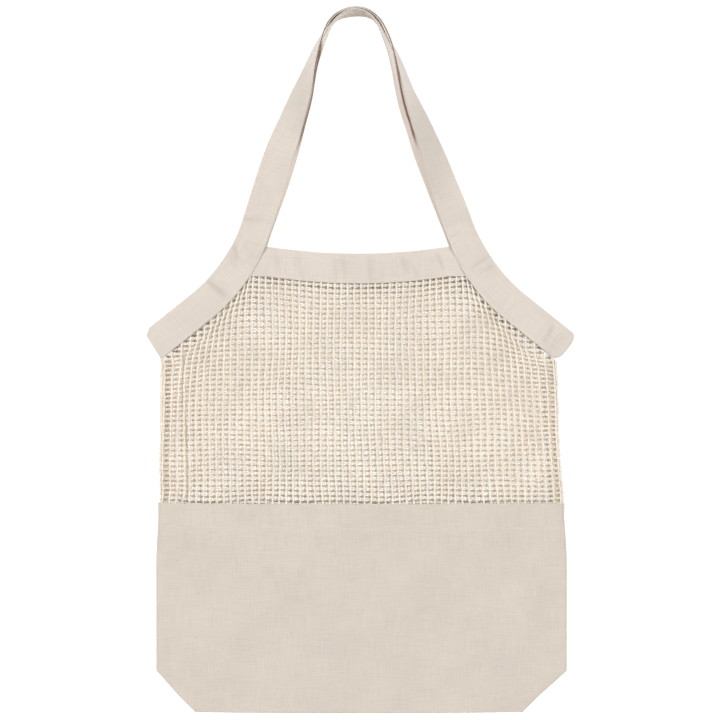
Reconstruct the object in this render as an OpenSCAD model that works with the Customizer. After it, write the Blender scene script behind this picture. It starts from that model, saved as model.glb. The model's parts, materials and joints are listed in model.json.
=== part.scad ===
// Mesh produce bag: a cotton tote with a net upper, a canvas lower, a hemmed mouth and two strap handles.
// Millimetres. +Z is up, +X runs across the bag, and the front faces -Y.
// The origin is the hang point: the underside of the handles at the middle of their arch.
// The bag hangs empty, so its boxed base is folded up inside between the front and the rear.

/* [Bag] */
// Width across the canvas, between the side seams
bag_w = 400; // [390:1:410]
// From the hem line, where the handles leave the bag, down to the bottom fold
body_h = 456; // [440:2:480]
// Height of the canvas
canvas_h = 204; // [180:2:220]
// How much each side of the net draws in above the canvas
net_pull_in = 7; // [3:1:9]
// Half of the boxed base's depth, which sets the slanted bottom corners
base_half = 43; // [32:1:50]
// How far each face stands out at the middle of the bag
swell = 12; // [10:0.5:13]

/* [Mouth] */
// Height of the hem band
band_h = 29; // [26:0.5:32]
// How far the band's middle hangs below its ends
band_sag = 7; // [3:0.5:9]

/* [Straps] */
// Width of a strap
strap_w = 31; // [29:0.5:32]
// Thickness of a folded strap
strap_t = 1.8; // [1.4:0.1:2.2]
// From the hang point down to the hem line
handle_drop = 225; // [215:1:235]
// Radius of the arch over the hang point
arch_r = 30; // [28:0.5:32]
// Lean of the straight legs from the vertical, in degrees
leg_lean = 20; // [19:0.5:21]
// Radius of the bend over each armhole
armhole_r = 165; // [155:1:175]
// Lean of the strap's last stretch from the vertical, in degrees
tip_lean = 51.6; // [50:0.1:53]
// Length of the straight stretch that ends at the side seam
tip_len = 62; // [58:1:66]

/* [Cloth] */
// Thickness of the canvas
canvas_t = 0.9; // [0.7:0.05:0.9]
// Thickness of the net
net_t = 2; // [1.6:0.1:2]
// Thickness of one turned side of a band or a strap
layer_t = 0.9; // [0.7:0.05:0.9]
// Width of the seam allowances inside
seam_w = 9; // [7:0.5:11]

/* [Hidden] */

// Clearance between layers that lie on each other
ease = 0.1;
// Gap on each side of the split between a handle and its strap ends
split_gap = 0.2;
hem_z = -handle_drop;
bottom_z = hem_z - body_h;
seam_z = bottom_z + canvas_h;
fold_top_z = bottom_z + base_half;
// Depth of the net's middle at the side seams, which leaves room for both strap ends
side_depth = 2.5;
// The same for the canvas below the net
canvas_side_depth = 1.7;
// Depth of the folded base at the bottom seam
flap_depth = ease + canvas_t / 2;
// Share of the swell that is left at the mouth and at the bottom
end_swell = 0.45;
// How far the net runs down behind the canvas
allowance = 14;
// The canvas closes in below the net's edge, from this far under its top and over this height
close_from = 1.5 * allowance;
close_len = 2 * allowance;
// Share of the swell that opens the bottom fold
fold_swell = 0.25;

// Strap path: an arch, a straight leg, a bend over the armhole, and a straight tip
leg_heading = leg_lean - 90;
tip_heading = tip_lean - 90;
// The hem line crosses the strap this far below the start of the armhole bend
hem_past_bend = 11.4;
// Gap between the two nested handles at the hang point, which lets the inner one swing out from under
nest_gap = 3.2;
// Half the step from the inner handle to the outer one
nest_half = (strap_t + nest_gap) / 2;
// Extra step between the handles, at its most halfway along this path length
nest_extra = 2;
nest_len = 200;
// Path length at which the step starts to close, and over which it closes
unnest_from = 120;
unnest_len = 90;
apex_z = strap_t / 2 + nest_half;
arch_len = arch_r * (90 - leg_lean) * PI / 180;
arch_end = [arch_r * sin(90 - leg_lean), apex_z - arch_r * (1 - cos(90 - leg_lean))];
leg_len = (arch_end.y - hem_z - hem_past_bend) / cos(leg_lean);
bend_start = arch_len + leg_len;
bend_end = bend_start + armhole_r * (leg_lean - tip_lean) * PI / -180;
strap_end = bend_end + tip_len;
leg_end = arch_end + leg_len * along(leg_heading);
bend_centre = leg_end + armhole_r * across(leg_heading);
// The handles turn from edge-on at the arch to flat at the hem between these path lengths
twist_from = 15;
twist_to = 220;
// The handles stand this much further apart halfway up their legs
leg_bow = 3.5;
// Path length over which a handle moves from the arch's middle to its own side
part_len = 60;
// Half width at the strap tips
tip_half_w = bag_w / 2 - net_pull_in;
tip_z = strap_xz(strap_end, 0).y;
hem_x = leg_end.x + hem_past_bend * tan(leg_lean);
hem_depth = net_depth(hem_x, hem_z);
// Half widths of the folded strips' slots, over the net alone and over the band
over_net = net_t / 2 + 4 * ease;
band_slot = net_t / 2 + 2 * ease;
over_band = band_slot + layer_t + 2 * ease;
// Gap between the hem line and the band's ends
band_drop = 3;
// How far the band's ends run under the straps
band_tuck = 8;
// Path distance at which a strap leaves the band, and over which its slot then narrows
band_leave = strap_at_z(hem_z - band_drop - band_h, band_tuck - strap_w / 2) + 2;
slot_taper = 12;
// How far the net's edge stops short of a fold
net_short = 4;
// Solid edge of a folded strip, beyond its slot
fold_wall = 3;
// The seam allowances inside: their thickness, how far they lie in from the sides, and where they end
seam_t = 2 * (canvas_side_depth - canvas_t / 2) - 4 * ease;
seam_inset = 1;
seam_top_z = tip_z - strap_w / 2 - 3;
// Stitching: a thread bead set in from the edge
stitch_in = 2;
stitch_w = 0.6;
stitch_h = 0.3;
stitch_ease = 0.15;
// Sizes of the loops
columns = 24;
wall_rows = 10;
fold_rows = 6;
flap_rows = 4;
arch_rings = 10;
leg_rings = 14;
bend_rings = 8;
tip_rings = 3;
fan_rings = 2;
fold_parts = 4;

cloth = "#dcd2c6";
net_cloth = "#ece4d4";
thread = "#e8dfd2";

function unit(f) = min(1, max(0, f));
function mix(a, b, f) = a + (b - a) * f;
function smooth(f) = let (c = unit(f)) c * c * (3 - 2 * c);
function along(heading) = [cos(heading), sin(heading)];
function across(heading) = [-sin(heading), cos(heading)];

// Half width of the net at a height
function half_width(z) = bag_w / 2 - net_pull_in * unit((z - seam_z) / (tip_z - seam_z));
// Half width of the canvas at a height, with its slanted corners
function canvas_half(z) = bag_w / 2 - base_half + min(base_half, z - bottom_z);
function swell_at(z) = swell * (end_swell + (1 - end_swell) * sin(180 * (z - bottom_z) / body_h));
// Distance of the net's middle surface from the bag's middle plane
function net_depth(x, z) = side_depth + swell_at(z) * max(0, 1 - pow(x / half_width(z), 2));

// A strap's path, offset by w towards its outer edge: distance a from the middle of the arch
function strap_xz(a, w) =
    a < arch_len ? [0, apex_z - arch_r] + (arch_r + w) * across(-a / arch_r * 180 / PI) :
    a < bend_start ? arch_end + (a - arch_len) * along(leg_heading) + w * across(leg_heading) :
    a < bend_end ? bend_centre - (armhole_r - w) * across(bend_heading(a)) :
    bend_centre - (armhole_r - w) * across(tip_heading) + (a - bend_end) * along(tip_heading);
function bend_heading(a) = leg_heading + (a - bend_start) / armhole_r * 180 / PI;
// Path distance at which the offset path crosses a height near the hem
function strap_at_z(z, w) =
    bend_start + (-acos((bend_centre.y - z) / (armhole_r - w)) - leg_heading) * armhole_r * PI / 180;
function strap_x(z, w) = bend_centre.x - sqrt(pow(armhole_r - w, 2) - pow(bend_centre.y - z, 2));
// Height of the armhole edge above a place on the net, at offset w
function armhole_z(x, w) =
    let (r = armhole_r - w, end = bend_centre - r * across(tip_heading))
    x < end.x ? bend_centre.y - sqrt(max(0, r * r - pow(bend_centre.x - x, 2)))
        : end.y + (x - end.x) * tan(tip_heading);

function band_top(x) = hem_z - band_drop - band_sag * max(0, 1 - pow(x / strap_x(hem_z, -strap_w / 2), 2));
function net_top(x) =
    let (level = band_top(x) - net_short)
    abs(x) < hem_x ? level : min(level, armhole_z(abs(x), strap_w / 2 - net_short));

// A closed solid between two grids of points, each a list of rows
module shell(outer, inner) {
    rows = len(outer);
    cols = len(outer[0]);
    size = rows * cols;
    points = concat([for (row = outer) each row], [for (row = inner) each row]);
    function at(r, c) = r * cols + c;
    function rim(a, b) = [[a, b, b + size], [a, b + size, a + size]];
    faces = concat(
        [for (r = [0:rows - 2], c = [0:cols - 2]) each [
            [at(r, c), at(r, c + 1), at(r + 1, c + 1)],
            [at(r, c), at(r + 1, c + 1), at(r + 1, c)],
            [at(r, c) + size, at(r + 1, c + 1) + size, at(r, c + 1) + size],
            [at(r, c) + size, at(r + 1, c) + size, at(r + 1, c + 1) + size]]],
        [for (c = [0:cols - 2]) each concat(
            rim(at(0, c + 1), at(0, c)), rim(at(rows - 1, c), at(rows - 1, c + 1)))],
        [for (r = [0:rows - 2]) each concat(
            rim(at(r, 0), at(r + 1, 0)), rim(at(r + 1, cols - 1), at(r, cols - 1)))]);
    polyhedron(points, faces);
}

// A closed solid through rings of points, with its two ends closed by the given quads
module sweep(rings, caps) {
    n = len(rings[0]);
    last = (len(rings) - 1) * n;
    faces = concat(
        [for (r = [0:len(rings) - 2], k = [0:n - 1])
            let (a = r * n + k, b = r * n + (k + 1) % n)
            each [[a, b, b + n], [a, b + n, a + n]]],
        [for (q = caps) each [[q[2], q[1], q[0]], [q[3], q[2], q[0]]]],
        [for (q = caps) each [[q[0], q[1], q[2]] + [last, last, last],
            [q[0], q[2], q[3]] + [last, last, last]]]);
    polyhedron([for (ring = rings) each ring], faces);
}

// A flat strip's cross-section: [offset across, height above the middle]. Its faces bend at one line.
function strip(from, bend, to, low, high) =
    [[from, low], [from, high], [bend, high], [to, high], [to, low], [bend, low]];
STRIP_CAPS = [[0, 1, 2, 5], [2, 3, 4, 5]];
function bead(edge, face) = strip(edge, edge + stitch_w / 2, edge + stitch_w, face, face + stitch_h);
// A folded strip that opens at its first edge, and half is the half width of its slot. The ring
// goes over the front, back under the rear, in along the slot's rear and out along its front.
function line(from, to, height) =
    [for (i = [0:fold_parts]) [mix(from, to, i / fold_parts), height]];
function folded(from, to, half) = concat(line(from, to, half + layer_t), line(to, from, -half - layer_t),
    line(from, to - fold_wall, -half), line(to - fold_wall, from, half));
function folded_index(side, i) = side * (fold_parts + 1) + i;
FOLDED_CAPS = concat(
    [for (i = [0:fold_parts - 1]) [folded_index(0, i), folded_index(0, i + 1),
        folded_index(3, fold_parts - i - 1), folded_index(3, fold_parts - i)]],
    [[folded_index(0, fold_parts), folded_index(1, 0), folded_index(2, fold_parts), folded_index(3, 0)]],
    [for (i = [0:fold_parts - 1]) [folded_index(1, i), folded_index(1, i + 1),
        folded_index(2, fold_parts - i - 1), folded_index(2, fold_parts - i)]]);

// The canvas: down the outside, round the bottom fold, and up inside to the bottom seam
function canvas_depth(u, z) =
    let (over = side_depth + net_t / 2 + 2 * ease + canvas_t / 2,
        drop = unit((seam_z - close_from - z) / close_len))
    mix(over, canvas_side_depth, smooth(drop)) + swell_at(z) * (1 - u * u);
function fold_r(u) = (canvas_side_depth - flap_depth) / 2 + fold_swell * swell_at(bottom_z) * (1 - u * u);
function wall_point(u, f, side) =
    let (z = mix(seam_z, bottom_z + canvas_t / 2 + fold_r(u), f))
    [u * canvas_half(z), -canvas_depth(u, z) - side * canvas_t / 2, z];
function fold_point(u, turn, side) =
    let (r = fold_r(u), centre_z = bottom_z + canvas_t / 2 + r,
        reach = r + side * canvas_t / 2, z = centre_z - reach * sin(turn))
    [u * canvas_half(centre_z - r * sin(turn)), r - canvas_depth(u, centre_z) - reach * cos(turn), z];
function flap_point(u, f, side) =
    let (low_z = bottom_z + canvas_t / 2 + fold_r(u), z = mix(low_z, fold_top_z, f),
        low_y = 2 * fold_r(u) - canvas_depth(u, low_z))
    [u * canvas_half(z), mix(low_y, -flap_depth, smooth(f)) + side * canvas_t / 2, z];
// Places across the bag, as shares of its half width
function shares(n) = [for (c = [0:n]) 2 * c / n - 1];
function canvas_rows(side) = concat(
    [for (i = [0:wall_rows - 1]) [for (u = shares(columns)) wall_point(u, i / wall_rows, side)]],
    [for (i = [0:fold_rows]) [for (u = shares(columns)) fold_point(u, 180 * i / fold_rows, side)]],
    [for (i = [1:flap_rows]) [for (u = shares(columns)) flap_point(u, i / flap_rows, side)]]);
module canvas_panel() {
    color(cloth) shell(canvas_rows(1), canvas_rows(-1));
}

// The net: from behind the canvas up into the band and the strap ends
function net_point(u, f, side) =
    let (top = net_top(u * tip_half_w), z = mix(top, seam_z - allowance, f), x = u * half_width(z))
    [x, -net_depth(x, z) - side * net_t / 2, z];
function net_rows(side) = [for (i = [0:wall_rows])
    [for (u = shares(2 * columns)) net_point(u, i / wall_rows, side)]];
module mesh_panel() {
    color(net_cloth) shell(net_rows(1), net_rows(-1));
}

// A band's point: share u of its half width, height h above its lower edge, and proud of the net's middle
function band_point(u, h, proud, tuck) =
    let (end = strap_x(hem_z - band_h + h, tuck - strap_w / 2), x = u * end, z = band_top(x) - band_h + h)
    [x, -net_depth(x, z) - proud, z];
function band_rings(section, tuck) =
    [for (u = shares(columns)) [for (p = section) band_point(u, p[0], p[1], tuck)]];
module top_band() {
    section = folded(0, band_h, band_slot);
    color(cloth) sweep(band_rings(section, band_tuck), FOLDED_CAPS);
}
module band_stitching() {
    section = bead(stitch_in, band_slot + layer_t + stitch_ease);
    color(thread) sweep(band_rings(section, -ease), STRIP_CAPS);
}

// A strap end: a folded strip from the hem line to the side seam, over the net's edge and the band's end
// A section's heights count from the slot's wall on their own side, so its slot is given as almost nothing.
function slot_half(a) = mix(over_band, over_net, unit((a - band_leave) / slot_taper));
function end_ring(f, section) =
    [for (p = section)
        let (start = strap_at_z(hem_z - split_gap, p[0]),
            a = f < 0 ? mix(bend_end, start, -f) : mix(bend_end, strap_end, f),
            at = strap_xz(a, p[0]))
        [at.x, -net_depth(at.x, at.y) - sign(p[1]) * slot_half(a) - p[1], at.y]];
end_stations = concat(
    [for (i = [bend_rings:-1:1]) -i / bend_rings],
    [for (i = [0:tip_rings]) i / tip_rings]);
function end_rings(section) = [for (f = end_stations) end_ring(f, section)];
module strap_end() {
    almost_nothing = 0.001;
    section = folded(-strap_w / 2, strap_w / 2, almost_nothing);
    color(cloth) sweep(end_rings(section), FOLDED_CAPS);
}
module end_stitching() {
    section = bead(stitch_in - strap_w / 2, layer_t + stitch_ease);
    color(thread) sweep(end_rings(section), STRIP_CAPS);
}

// A handle's point: signed distance s from the middle of its arch, across and through the strap.
// The nest is 1 for the outer handle, in front, and -1 for the inner one.
function twist(a) = 90 * smooth((a - twist_from) / (twist_to - twist_from));
function nest(a) =
    (nest_half + nest_extra * sin(180 * unit(a / nest_len))) * (1 - smooth((a - unnest_from) / unnest_len));
function handle_depth(a) =
    hem_depth * smooth(a / part_len) + leg_bow * sin(180 * unit(a / (bend_start + hem_past_bend)));
function handle_point(a, w, proud, step) =
    let (turn = twist(a), out = w * sin(turn) + proud * cos(turn) + step * nest(a), at = strap_xz(a, out))
    [at.x, -handle_depth(a) + w * cos(turn) - proud * sin(turn), at.y];
function handle_ring(a, section, step) = [for (p = section) handle_point(a, p[0], p[1], step)];
// The last rings fan out to the level cut at the hem line
function fan_ring(f, section, step) = [for (p = section)
    handle_point(mix(bend_start, strap_at_z(hem_z + split_gap, p[0]), f), p[0], p[1], step)];
function flip_x(ring) = [for (p = ring) [-p.x, p.y, p.z]];
function half_rings(section, step) = concat(
    [for (i = [1:arch_rings]) handle_ring(arch_len * i / arch_rings, section, step)],
    [for (i = [1:leg_rings]) handle_ring(arch_len + leg_len * i / leg_rings, section, step)],
    [for (i = [1:fan_rings]) fan_ring(i / fan_rings, section, step)]);
function handle_rings(section, step) =
    let (half = half_rings(section, step), n = len(half))
    concat([for (i = [n - 1:-1:0]) flip_x(half[i])], [handle_ring(0, section, step)], half);
module handle(step) {
    section = strip(-strap_w / 2, (stitch_in + stitch_w / 2) - strap_w / 2, strap_w / 2,
        -strap_t / 2, strap_t / 2);
    color(cloth) sweep(handle_rings(section, step), STRIP_CAPS);
}
module handle_stitching(step) {
    section = bead(stitch_in - strap_w / 2, strap_t / 2 + stitch_ease);
    color(thread) sweep(handle_rings(section, step), STRIP_CAPS);
}

// Seam allowances inside: down the side, then inwards along the top of the folded base
module side_seam() {
    low_z = fold_top_z + ease;
    top_x = half_width(seam_top_z) - seam_inset;
    side_x = bag_w / 2 - seam_inset;
    inner_x = bag_w / 2 - base_half + seam_inset;
    color(cloth) translate([0, seam_t / 2, 0]) rotate([90, 0, 0]) linear_extrude(seam_t)
        polygon([[top_x, seam_top_z], [side_x, seam_z], [side_x, low_z],
            [inner_x, low_z], [inner_x, low_z + seam_w], [side_x - seam_w, low_z + seam_w],
            [side_x - seam_w, seam_z], [top_x - seam_w, seam_top_z]]);
}
module bottom_seam() {
    length = bag_w - 2 * base_half;
    color(cloth) translate([-length / 2, -seam_t / 2, fold_top_z + ease]) cube([length, seam_t, seam_w]);
}
module both_sides() {
    children();
    mirror([1, 0, 0]) children();
}

module to_rear() { mirror([0, 1, 0]) children(); }
module to_left() { mirror([1, 0, 0]) children(); }

canvas_panel();  // front_canvas
to_rear() canvas_panel();  // rear_canvas
mesh_panel();  // front_mesh
to_rear() mesh_panel();  // rear_mesh
top_band();  // front_top_band
to_rear() top_band();  // rear_top_band
handle(1);  // front_handle
to_rear() handle(-1);  // rear_handle
to_left() strap_end();  // front_left_strap_end
strap_end();  // front_right_strap_end
to_rear() to_left() strap_end();  // rear_left_strap_end
to_rear() strap_end();  // rear_right_strap_end
to_left() side_seam();  // left_side_seam
side_seam();  // right_side_seam
bottom_seam();
band_stitching();  // front_band_stitching
to_rear() band_stitching();  // rear_band_stitching
both_sides() end_stitching();  // front_strap_end_stitching
to_rear() both_sides() end_stitching();  // rear_strap_end_stitching
handle_stitching(1);  // front_handle_stitching
to_rear() handle_stitching(-1);  // rear_handle_stitching
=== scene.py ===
"""Mesh produce bag: a cotton tote of net and canvas, hanging empty from its two strap handles.

Metres, in the CAD's frame: +Z is up, +X runs across the bag, the front faces -Y, and the origin is
the hang point. Nothing is simulated: every cloth is laid by the functions below, which repeat the
bag's shape from the CAD and add its folds, dents, yarns and stitches.
"""
import json
import math

import bpy
import numpy as np
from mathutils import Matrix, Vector


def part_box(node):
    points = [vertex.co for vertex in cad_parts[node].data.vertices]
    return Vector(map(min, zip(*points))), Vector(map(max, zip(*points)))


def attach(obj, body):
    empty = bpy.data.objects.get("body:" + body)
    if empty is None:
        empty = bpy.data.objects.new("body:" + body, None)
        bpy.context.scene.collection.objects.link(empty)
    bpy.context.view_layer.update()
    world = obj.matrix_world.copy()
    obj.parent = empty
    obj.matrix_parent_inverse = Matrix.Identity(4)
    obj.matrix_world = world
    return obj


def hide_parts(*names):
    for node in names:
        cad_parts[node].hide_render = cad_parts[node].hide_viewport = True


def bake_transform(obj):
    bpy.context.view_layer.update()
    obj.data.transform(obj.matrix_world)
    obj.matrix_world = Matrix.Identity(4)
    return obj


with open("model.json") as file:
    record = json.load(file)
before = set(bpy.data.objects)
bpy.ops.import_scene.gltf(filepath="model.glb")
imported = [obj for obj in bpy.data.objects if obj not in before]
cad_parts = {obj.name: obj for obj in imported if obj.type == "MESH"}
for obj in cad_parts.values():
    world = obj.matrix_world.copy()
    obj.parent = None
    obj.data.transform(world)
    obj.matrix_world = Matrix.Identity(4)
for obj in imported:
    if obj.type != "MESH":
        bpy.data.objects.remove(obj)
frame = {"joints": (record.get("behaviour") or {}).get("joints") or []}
scene = bpy.context.scene
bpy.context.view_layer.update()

# --- The bag's sizes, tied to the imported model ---
MM = 0.001
SIDES = (("front", 1), ("rear", -1))
canvas_low, canvas_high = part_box("front_canvas")
fold_hinge = next(j for j in frame["joints"] if j["name"] == "front_handle_fold")

HALF_W = canvas_high.x
BOTTOM_Z = canvas_low.z
SEAM_Z = canvas_high.z
HEM_Z = fold_hinge["pos_m"][2]
NET_TOP_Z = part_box("front_mesh")[1].z
ALLOWANCE_LOW, ALLOWANCE_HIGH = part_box("right_side_seam")
BOTTOM_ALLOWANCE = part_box("bottom_seam")
BODY_H = HEM_Z - BOTTOM_Z

BASE_HALF = 43 * MM
FOLD_TOP_Z = BOTTOM_Z + BASE_HALF
SWELL = 12 * MM
END_SWELL = 0.45
BAND_H = 29 * MM
BAND_SAG = 7 * MM
BAND_DROP = 3 * MM
BAND_TUCK = 8 * MM
STRAP_W = 31 * MM
LAYER = 0.9 * MM
CANVAS_T = 0.9 * MM
SIDE_DEPTH = 2.5 * MM
CANVAS_SIDE_DEPTH = 1.7 * MM
CANVAS_OVER_NET = 4.15 * MM
FLAP_DEPTH = 0.55 * MM
SEAM_W = 9 * MM

# A strap's path: an arch, a straight leg, a bend over the armhole, and a straight tip
ARCH_R = 30 * MM
APEX_Z = 3.4 * MM
LEG_HEADING = math.radians(20 - 90)
TIP_HEADING = math.radians(51.6 - 90)
ARMHOLE_R = 165 * MM
TIP_LEN = 62 * MM
HEM_PAST_BEND = 11.4 * MM


def along(heading):
    return np.array([math.cos(heading), math.sin(heading)])


def across(heading):
    return np.array([-math.sin(heading), math.cos(heading)])


ARCH_TURN = -LEG_HEADING
ARCH_LEN = ARCH_R * ARCH_TURN
ARCH_END = np.array([ARCH_R * math.sin(ARCH_TURN), APEX_Z - ARCH_R * (1 - math.cos(ARCH_TURN))])
LEG_LEN = (ARCH_END[1] - HEM_Z - HEM_PAST_BEND) / math.sin(ARCH_TURN)
BEND_START = ARCH_LEN + LEG_LEN
BEND_END = BEND_START + ARMHOLE_R * (TIP_HEADING - LEG_HEADING)
STRAP_END = BEND_END + TIP_LEN
LEG_END = ARCH_END + LEG_LEN * along(LEG_HEADING)
BEND_CENTRE = LEG_END + ARMHOLE_R * across(LEG_HEADING)
HEM_X = LEG_END[0] + HEM_PAST_BEND / math.tan(ARCH_TURN)


def unit(f):
    return np.clip(f, 0.0, 1.0)


def mix(a, b, f):
    return a + (b - a) * f


def stacked(*parts):
    return np.stack(np.broadcast_arrays(*parts), -1)


def smooth(f):
    c = unit(f)
    return c * c * (3 - 2 * c)


def rounded(f):
    """A quarter circle's rise from 0 to 1."""
    c = unit(f)
    return np.sqrt(1 - (1 - c) ** 2)


def bump(f):
    """A soft hump, 1 at 0 and gone by 2 or so on either side."""
    return np.exp(-f * f)


# The next three take start and length in millimetres
def rise(x, start, length):
    return smooth((x - start * MM) / (length * MM))


def fall(x, start, length):
    return 1 - rise(x, start, length)


def hump(x, middle, width):
    return bump((x - middle * MM) / (width * MM))


def path_length(path):
    """Distance along a path to each of its points."""
    return np.concatenate([[0], np.cumsum(np.linalg.norm(np.diff(path, axis=0), axis=1))])


TIP_Z = (BEND_CENTRE - ARMHOLE_R * across(TIP_HEADING) + TIP_LEN * along(TIP_HEADING))[1]


def half_width(z):
    return HALF_W - 3 * MM - 4.5 * MM * unit((z - SEAM_Z) / (TIP_Z - SEAM_Z))


def canvas_half(z):
    drawn_in = 2.5 * MM * rise(z - SEAM_Z, -60, 60)
    return HALF_W - drawn_in - BASE_HALF + np.minimum(BASE_HALF, z - BOTTOM_Z + 2.3 * MM)


def swell_at(z):
    return SWELL * (END_SWELL + (1 - END_SWELL) * np.sin(math.pi * (z - BOTTOM_Z) / BODY_H))


def net_depth(x, z):
    """Distance of the net's middle from the bag's middle plane. It closes in at the side seams."""
    inside = half_width(z) - np.abs(x)
    edge = 1.3 * MM
    side = mix(edge, SIDE_DEPTH, rounded(inside / (6 * MM)))
    return side + swell_at(z) * np.maximum(0, 1 - (x / half_width(z)) ** 2)


def strap_xz(a, w):
    """Points on a strap's path in the bag's plane: distance a from the arch's middle, offset w outwards."""
    a, w = np.broadcast_arrays(a, w)
    turn = np.minimum(a, ARCH_LEN) / ARCH_R
    arch = stacked((ARCH_R + w) * np.sin(turn), APEX_Z - ARCH_R + (ARCH_R + w) * np.cos(turn))
    leg = ARCH_END + (a - ARCH_LEN)[..., None] * along(LEG_HEADING) + w[..., None] * across(LEG_HEADING)
    heading = LEG_HEADING + (a - BEND_START) / ARMHOLE_R
    side = stacked(-np.sin(heading), np.cos(heading))
    bend = BEND_CENTRE - (ARMHOLE_R - w)[..., None] * side
    tip = (BEND_CENTRE - (ARMHOLE_R - w)[..., None] * across(TIP_HEADING)
           + (a - BEND_END)[..., None] * along(TIP_HEADING))
    pick = a[..., None]
    low = np.where(pick < BEND_END, bend, tip)
    return np.where(pick < ARCH_LEN, arch, np.where(pick < BEND_START, leg, low))


def strap_x(z, w):
    return BEND_CENTRE[0] - np.sqrt((ARMHOLE_R - w) ** 2 - (BEND_CENTRE[1] - z) ** 2)


def strap_at_z(z, w):
    heading = -np.arccos((BEND_CENTRE[1] - z) / (ARMHOLE_R - w))
    return BEND_START + (heading - LEG_HEADING) * ARMHOLE_R


def armhole_z(x, w):
    """Height of a strap's edge above a place on the net, at offset w."""
    r = ARMHOLE_R - w
    end = BEND_CENTRE - r * across(TIP_HEADING)
    curve = BEND_CENTRE[1] - np.sqrt(np.maximum(0, r * r - (BEND_CENTRE[0] - x) ** 2))
    return np.where(x < end[0], curve, end[1] + (x - end[0]) * math.tan(TIP_HEADING))


def band_top(x):
    ends = strap_x(HEM_Z, -STRAP_W / 2)
    return HEM_Z - BAND_DROP - BAND_SAG * np.maximum(0, 1 - (x / ends) ** 2)


def net_top(x):
    """Where the net's yarns end, out of sight inside the band and the straps."""
    level = band_top(x) - 12 * MM
    out = np.abs(x)
    tucked = armhole_z(out, 9 * MM - STRAP_W / 2)
    ending = armhole_z(out, -0.3 * MM - STRAP_W / 2)
    slanted = mix(tucked, ending, rise(out, 168, 12))
    return np.where(np.abs(x) < HEM_X, level, np.minimum(level, slanted))


# --- Small unevenness, from seeded waves ---
class Wander:
    """A smooth seeded wander of about 1 either way, along one or two coordinates."""

    def __init__(self, seed, length, width=None, waves=7):
        rng = np.random.default_rng(seed)
        turn = rng.uniform(0.5, 1.6, waves) * 2 * math.pi
        self.step_a = turn / length * rng.choice([-1, 1], waves)
        self.step_b = rng.uniform(-1.3, 1.3, waves) * 2 * math.pi / (width or length)
        self.start = rng.uniform(0, 2 * math.pi, waves)
        self.size = 1.5 / math.sqrt(waves)

    def __call__(self, a, b=0.0):
        a, b = np.broadcast_arrays(a, b)
        total = np.zeros(a.shape)
        for i in range(len(self.start)):
            total = total + np.sin(a * self.step_a[i] + b * self.step_b[i] + self.start[i])
        return total * self.size


def sway(z):
    """The bag hangs a little to the left of plumb above its canvas, and its folded base sits to the left."""
    upper = 3.4 * MM * smooth((z + 0.52) / 0.17) + 3.2 * MM * smooth((z + 0.25) / 0.18)
    return -upper - 2.6 * MM * rise(BOTTOM_Z + 42 * MM - z, 0, 30)


def hang(points):
    moved = points.copy()
    moved[..., 0] += sway(points[..., 2])
    return moved


# --- Meshes ---
def signed_volume(points, quads):
    a, b, c, d = (points[quads[:, i]] for i in range(4))
    return np.einsum("ij,ij->", a, np.cross(b, c)) + np.einsum("ij,ij->", a, np.cross(c, d))


def placed(name, data):
    """A new object in the scene."""
    made = bpy.data.objects.new(name, data)
    scene.collection.objects.link(made)
    return made


def make_piece(name, points, quads, extra=(), cloth=None, inside=None):
    """A mesh object. Its faces are quads, and extra holds end caps with any number of corners."""
    if signed_volume(points, quads) < 0:
        quads = quads[:, ::-1]
        extra = [face[::-1] for face in extra]
    mesh = bpy.data.meshes.new(name)
    mesh.from_pydata(hang(points).tolist(), [], quads.tolist() + [list(map(int, f)) for f in extra])
    mesh.polygons.foreach_set("use_smooth", np.ones(len(mesh.polygons), bool))
    if cloth is not None:
        layer = mesh.attributes.new("cloth", "FLOAT_VECTOR", "POINT")
        layer.data.foreach_set("vector", cloth.astype(np.float32).ravel())
    # The inside attribute is the share of painted shade in the colour.
    if inside is not None:
        layer = mesh.attributes.new("inside", "FLOAT", "POINT")
        layer.data.foreach_set("value", inside.astype(np.float32).ravel())
    mesh.update()
    return placed(name, mesh)


def ring_quads(rings, n):
    """The faces between rings of n points each."""
    r, k = np.meshgrid(np.arange(rings - 1), np.arange(n), indexing="ij")
    a = r * n + k
    b = r * n + (k + 1) % n
    return stacked(a, b, b + n, a + n).reshape(-1, 4)


def grid_quads(rows, cols, start=0):
    r, c = np.meshgrid(np.arange(rows - 1), np.arange(cols - 1), indexing="ij")
    a = start + r * cols + c
    return stacked(a, a + 1, a + cols + 1, a + cols).reshape(-1, 4)


def shell_faces(rows, cols):
    """The faces of a closed sheet between an outer and an inner grid."""
    size = rows * cols
    outer = grid_quads(rows, cols)
    inner = grid_quads(rows, cols, size)[:, ::-1]

    def rim(line):
        a, b = line[:-1], line[1:]
        return stacked(b, a, a + size, b + size)

    index = np.arange(size).reshape(rows, cols)
    edges = [rim(index[0]), rim(index[:, -1]), rim(index[-1, ::-1]), rim(index[::-1, 0])]
    return np.concatenate([outer, inner] + edges)


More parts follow.
